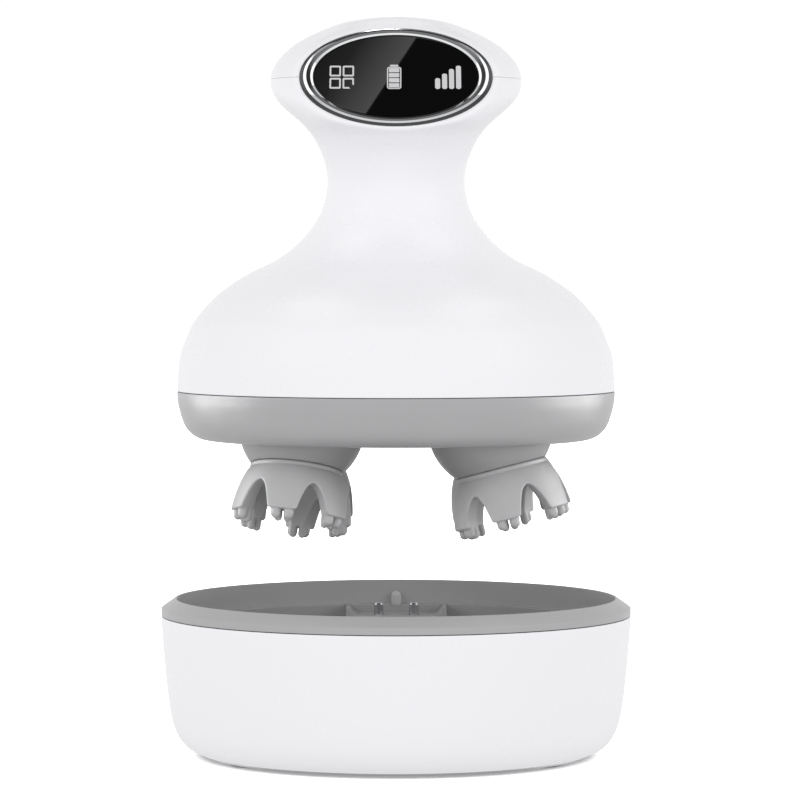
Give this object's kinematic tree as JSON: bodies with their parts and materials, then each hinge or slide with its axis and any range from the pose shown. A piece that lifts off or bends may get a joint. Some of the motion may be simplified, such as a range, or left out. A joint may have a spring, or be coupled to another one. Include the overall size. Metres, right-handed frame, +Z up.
{
  "type": "electric scalp massager",
  "caption": "Handheld scalp massager with an oval touch display and rotating claw heads of soft nubs, held just above its open oval charging dock.",
  "frame": {"origin": "centre of the dock's footprint, on the surface it stands on", "axes": "+Z up, the display and the front face -Y, +X to the right of someone facing the display"},
  "size_m": [0.1202, 0.1046, 0.1886],
  "materials": {
    "white_shell": "smooth satin-gloss white",
    "grey_shell": "fine matte mid grey",
    "grey_hub": "fine matte mid grey",
    "silicone": "soft matte silicone",
    "rubber_black": "matte black",
    "chrome": "polished",
    "lens_black": "high gloss, near black",
    "icon_light": "lit light grey symbols",
    "steel": "turned steel",
    "gold_contact": "plated contact",
    "bush_brass": "sintered bronze",
    "board_green": "solder mask",
    "black_plastic": "moulded black",
    "acetal": "natural acetal",
    "light_pipe": "milky light pipe",
    "flat_cable": "flat flexible cable",
    "battery_wrap": "shrink wrap",
    "wire_red": "wire insulation",
    "wire_black": "wire insulation"
  },
  "bodies": {
    "dock": {"dock_outer_shell": "white_shell", "dock_tray": "grey_shell", "dock_base_plate": "grey_shell", "dock_rubber_feet": "rubber_black", "dock_screws": "steel", "dock_light_guide": "light_pipe", "dock_pin_holder": "black_plastic", "dock_pin_barrels": "gold_contact", "dock_pin_springs": "steel", "dock_circuit_board": "board_green", "dock_usb_socket": "steel"},
    "charging_pin_left": {"charging_pin_left": "steel"},
    "charging_pin_right": {"charging_pin_right": "steel"},
    "massager": {"upper_housing": "white_shell", "head_cap": "white_shell", "display_bezel": "chrome", "display_lens": "lens_black", "display_icons": "icon_light", "display_gasket": "rubber_black", "display_board": "board_green", "touch_springs": "steel", "ribbon_cable": "flat_cable", "lower_skirt": "grey_shell", "skirt_gasket": "rubber_black", "housing_screws": "steel", "contact_pads": "gold_contact", "contact_seals": "rubber_black", "gearbox_lower_plate": "black_plastic", "gearbox_upper_plate": "black_plastic", "shaft_bushes": "bush_brass", "shaft_seals": "rubber_black", "idler_axles": "steel", "motor_can": "steel", "gearbox_can": "steel", "motor_screws": "steel", "battery_cell": "battery_wrap", "battery_bracket": "black_plastic", "main_circuit_board": "board_green", "battery_wires": "wire_red", "motor_wires": "wire_black"},
    "motor_pinion": {"motor_pinion": "steel", "motor_shaft": "steel"},
    "idler_left": {"idler_gear_left": "acetal"},
    "idler_right": {"idler_gear_right": "acetal"},
    "head_front_left": {"hub_front_left": "grey_hub", "output_gear_front_left": "acetal", "claw_front_left": "silicone", "claw_screw_front_left": "steel"},
    "head_front_right": {"hub_front_right": "grey_hub", "output_gear_front_right": "acetal", "claw_front_right": "silicone", "claw_screw_front_right": "steel"},
    "head_rear_left": {"hub_rear_left": "grey_hub", "output_gear_rear_left": "acetal", "claw_rear_left": "silicone", "claw_screw_rear_left": "steel"},
    "head_rear_right": {"hub_rear_right": "grey_hub", "output_gear_rear_right": "acetal", "claw_rear_right": "silicone", "claw_screw_rear_right": "steel"}
  },
  "joints": [
    {"name": "lift_off", "type": "slide", "parent": "dock", "child": "massager", "axis": [0, 0, 1], "range_m": [-0.0498, 0]},
    {"name": "pin_press_left", "type": "slide", "parent": "dock", "child": "charging_pin_left", "axis": [0, 0, -1], "range_m": [0, 0.0015], "stiffness_N_per_m": 300, "springref_m": -0.0012, "deforming": ["dock_pin_springs"]},
    {"name": "pin_press_right", "type": "slide", "parent": "dock", "child": "charging_pin_right", "axis": [0, 0, -1], "range_m": [0, 0.0015], "stiffness_N_per_m": 300, "springref_m": -0.0012, "deforming": ["dock_pin_springs"]},
    {"name": "idler_left_spin", "type": "hinge", "parent": "massager", "child": "idler_left", "pos_m": [-0.014, 0, 0.092], "axis": [0, 0, 1], "continuous": true},
    {"name": "idler_right_spin", "type": "hinge", "parent": "massager", "child": "idler_right", "pos_m": [0.014, 0, 0.092], "axis": [0, 0, 1], "continuous": true},
    {"name": "motor_pinion_spin", "type": "hinge", "parent": "massager", "child": "motor_pinion", "pos_m": [-0.00243, 0.01379, 0.092], "axis": [0, 0, 1], "continuous": true},
    {"name": "head_front_left_spin", "type": "hinge", "parent": "massager", "child": "head_front_left", "pos_m": [-0.0236, -0.01709, 0.085], "axis": [0, 0, 1], "continuous": true},
    {"name": "head_front_right_spin", "type": "hinge", "parent": "massager", "child": "head_front_right", "pos_m": [0.0236, -0.01709, 0.085], "axis": [0, 0, 1], "continuous": true},
    {"name": "head_rear_left_spin", "type": "hinge", "parent": "massager", "child": "head_rear_left", "pos_m": [-0.0236, 0.01709, 0.085], "axis": [0, 0, 1], "continuous": true},
    {"name": "head_rear_right_spin", "type": "hinge", "parent": "massager", "child": "head_rear_right", "pos_m": [0.0236, 0.01709, 0.085], "axis": [0, 0, 1], "continuous": true}
  ],
  "couplings": [
    {"joint": "idler_left_spin", "follows": "head_front_left_spin", "ratio": -0.4},
    {"joint": "idler_right_spin", "follows": "head_front_left_spin", "ratio": 0.4},
    {"joint": "motor_pinion_spin", "follows": "head_front_left_spin", "ratio": 1.4},
    {"joint": "head_rear_left_spin", "follows": "head_front_left_spin", "ratio": 1},
    {"joint": "head_front_right_spin", "follows": "head_front_left_spin", "ratio": -1},
    {"joint": "head_rear_right_spin", "follows": "head_front_left_spin", "ratio": -1}
  ]
}
